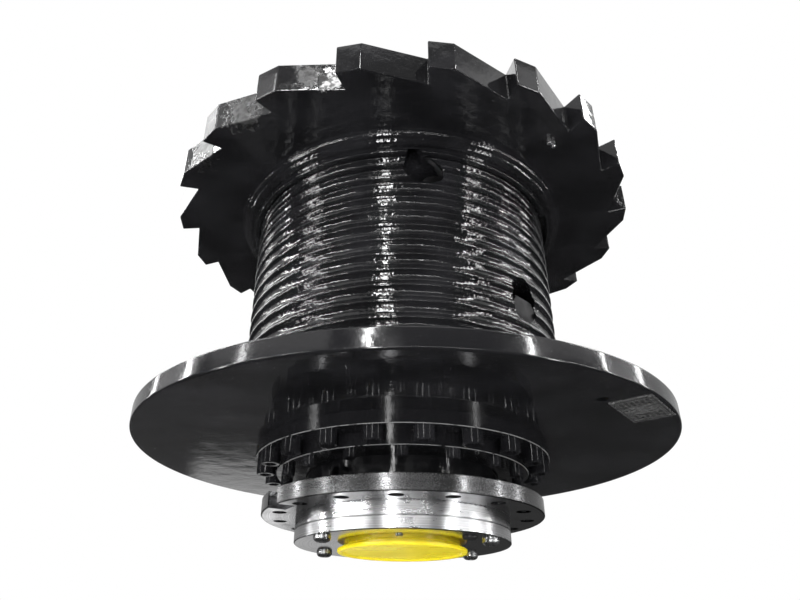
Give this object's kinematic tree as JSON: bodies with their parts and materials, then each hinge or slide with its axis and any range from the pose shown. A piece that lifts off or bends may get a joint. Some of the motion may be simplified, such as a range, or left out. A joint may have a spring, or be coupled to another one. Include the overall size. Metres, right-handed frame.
{
  "type": "crane winch drum with planetary gear reducer",
  "caption": "Grooved crane rope drum with a flange disc and a ratchet wheel, turned by a planetary reducer inside it, with a bolted mounting end and a capped motor cover.",
  "frame": {"origin": "centre of the bolting face of the mounting flange, where the spigot starts", "axes": "+Z along the drum axis from the mounting flange towards the ratchet wheel; -Y is the side the picture is taken from"},
  "size_m": [0.7099, 0.71, 0.5485],
  "materials": {
    "gloss_black": "high-gloss black enamel over steel",
    "black_screws": "socket head screws under the same black enamel",
    "machined_steel": "bare turned steel",
    "spindle_steel": "bare turned steel spigot, black enamel on the neck",
    "bright_screws": "bright zinc plated screws and plugs",
    "yellow_plastic": "yellow moulded plastic",
    "gear_steel": "case hardened ground steel",
    "bearing_steel": "ground bearing steel",
    "cast_carrier": "machined nodular iron",
    "bronze": "turned bronze",
    "seal_rubber": "nitrile rubber",
    "friction_disc": "sintered friction lining",
    "spring_steel": "phosphated spring steel",
    "plate_metal": "blank aluminium plate"
  },
  "bodies": {
    "mounting_end": {"mounting_flange": "machined_steel", "spindle": "spindle_steel", "motor_cover": "machined_steel", "motor_cover_screws": "bright_screws", "port_plugs": "bright_screws", "main_inner_races": "bearing_steel", "inner_spacer": "gear_steel", "bearing_nut": "gear_steel", "stage_two_carrier": "cast_carrier", "carrier_screws": "bright_screws", "stage_two_pins": "bearing_steel", "brake_outer_discs": "spring_steel", "brake_springs": "spring_steel", "spring_plate": "machined_steel", "input_bush": "bronze", "outboard_inner_race": "bearing_steel"},
    "drum": {"seal_carrier": "gloss_black", "seal_carrier_screws": "black_screws", "shaft_seal": "seal_rubber", "gear_housing": "gloss_black", "housing_screws": "black_screws", "ring_gear": "gear_steel", "housing_cover": "machined_steel", "cover_snap_ring": "spring_steel", "drum_flange": "gloss_black", "rope_barrel": "gloss_black", "rope_wedge": "gear_steel", "riser_ring": "gloss_black", "drum_welds": "gloss_black", "ratchet_wheel": "gloss_black", "ratchet_pegs": "bright_screws", "nameplate": "plate_metal", "main_outer_races": "bearing_steel", "outer_spacer": "gear_steel", "outboard_hub": "gloss_black", "hub_cover": "gloss_black", "hub_cover_screws": "black_screws", "outboard_outer_race": "bearing_steel"},
    "cap": {"transport_cap": "yellow_plastic"},
    "main_rollers": {"main_bearing_rollers": "bearing_steel"},
    "outboard_rollers": {"outboard_rollers": "bearing_steel"},
    "carrier_one": {"stage_one_carrier": "cast_carrier", "stage_one_pins": "bearing_steel", "sun_gear_two": "gear_steel"},
    "input": {"input_shaft": "gear_steel", "brake_inner_discs": "friction_disc"},
    "planet_one_1": {"planet_one_1": "gear_steel", "planet_one_1_bush": "bronze"},
    "planet_one_2": {"planet_one_2": "gear_steel", "planet_one_2_bush": "bronze"},
    "planet_one_3": {"planet_one_3": "gear_steel", "planet_one_3_bush": "bronze"},
    "planet_two_1": {"planet_two_1": "gear_steel", "planet_two_1_bush": "bronze"},
    "planet_two_2": {"planet_two_2": "gear_steel", "planet_two_2_bush": "bronze"},
    "planet_two_3": {"planet_two_3": "gear_steel", "planet_two_3_bush": "bronze"},
    "brake_piston": {"brake_piston": "gear_steel", "piston_seals": "seal_rubber"}
  },
  "joints": [
    {"name": "drum_spin", "type": "hinge", "parent": "mounting_end", "child": "drum", "pos_m": [0, 0, 0.2], "axis": [0, 0, 1], "continuous": true},
    {"name": "main_roller_orbit", "type": "hinge", "parent": "mounting_end", "child": "main_rollers", "pos_m": [0, 0, 0.12], "axis": [0, 0, 1], "continuous": true},
    {"name": "outboard_roller_orbit", "type": "hinge", "parent": "mounting_end", "child": "outboard_rollers", "pos_m": [0, 0, 0.474], "axis": [0, 0, 1], "continuous": true},
    {"name": "carrier_one_spin", "type": "hinge", "parent": "mounting_end", "child": "carrier_one", "pos_m": [0, 0, 0.3], "axis": [0, 0, 1], "continuous": true},
    {"name": "input_spin", "type": "hinge", "parent": "mounting_end", "child": "input", "pos_m": [0, 0, 0.1], "axis": [0, 0, 1], "continuous": true},
    {"name": "planet_two_1_spin", "type": "hinge", "parent": "mounting_end", "child": "planet_two_1", "pos_m": [0.096, 0, 0.23], "axis": [0, 0, 1], "continuous": true},
    {"name": "planet_two_2_spin", "type": "hinge", "parent": "mounting_end", "child": "planet_two_2", "pos_m": [-0.048, 0.08314, 0.23], "axis": [0, 0, 1], "continuous": true},
    {"name": "planet_two_3_spin", "type": "hinge", "parent": "mounting_end", "child": "planet_two_3", "pos_m": [-0.048, -0.08314, 0.23], "axis": [0, 0, 1], "continuous": true},
    {"name": "planet_one_1_spin", "type": "hinge", "parent": "carrier_one", "child": "planet_one_1", "pos_m": [0.045, 0.07794, 0.322], "axis": [0, 0, 1], "continuous": true},
    {"name": "planet_one_2_spin", "type": "hinge", "parent": "carrier_one", "child": "planet_one_2", "pos_m": [-0.09, 0, 0.322], "axis": [0, 0, 1], "continuous": true},
    {"name": "planet_one_3_spin", "type": "hinge", "parent": "carrier_one", "child": "planet_one_3", "pos_m": [0.045, -0.07794, 0.322], "axis": [0, 0, 1], "continuous": true},
    {"name": "brake_release", "type": "slide", "parent": "mounting_end", "child": "brake_piston", "axis": [0, 0, -1], "range_m": [0, 0.002], "stiffness_N_per_m": 200000, "springref_m": -0.002, "deforming": ["brake_springs"]},
    {"name": "cap_pull", "type": "slide", "parent": "mounting_end", "child": "cap", "axis": [0, 0, -1], "range_m": [0, 0.06]}
  ],
  "couplings": [
    {"joint": "main_roller_orbit", "follows": "drum_spin", "ratio": 0.52692},
    {"joint": "outboard_roller_orbit", "follows": "drum_spin", "ratio": 0.54667},
    {"joint": "carrier_one_spin", "follows": "drum_spin", "ratio": -3},
    {"joint": "input_spin", "follows": "drum_spin", "ratio": -19},
    {"joint": "planet_two_1_spin", "follows": "drum_spin", "ratio": 3},
    {"joint": "planet_two_2_spin", "follows": "drum_spin", "ratio": 3},
    {"joint": "planet_two_3_spin", "follows": "drum_spin", "ratio": 3},
    {"joint": "planet_one_1_spin", "follows": "drum_spin", "ratio": 10.667},
    {"joint": "planet_one_2_spin", "follows": "drum_spin", "ratio": 10.667},
    {"joint": "planet_one_3_spin", "follows": "drum_spin", "ratio": 10.667}
  ]
}
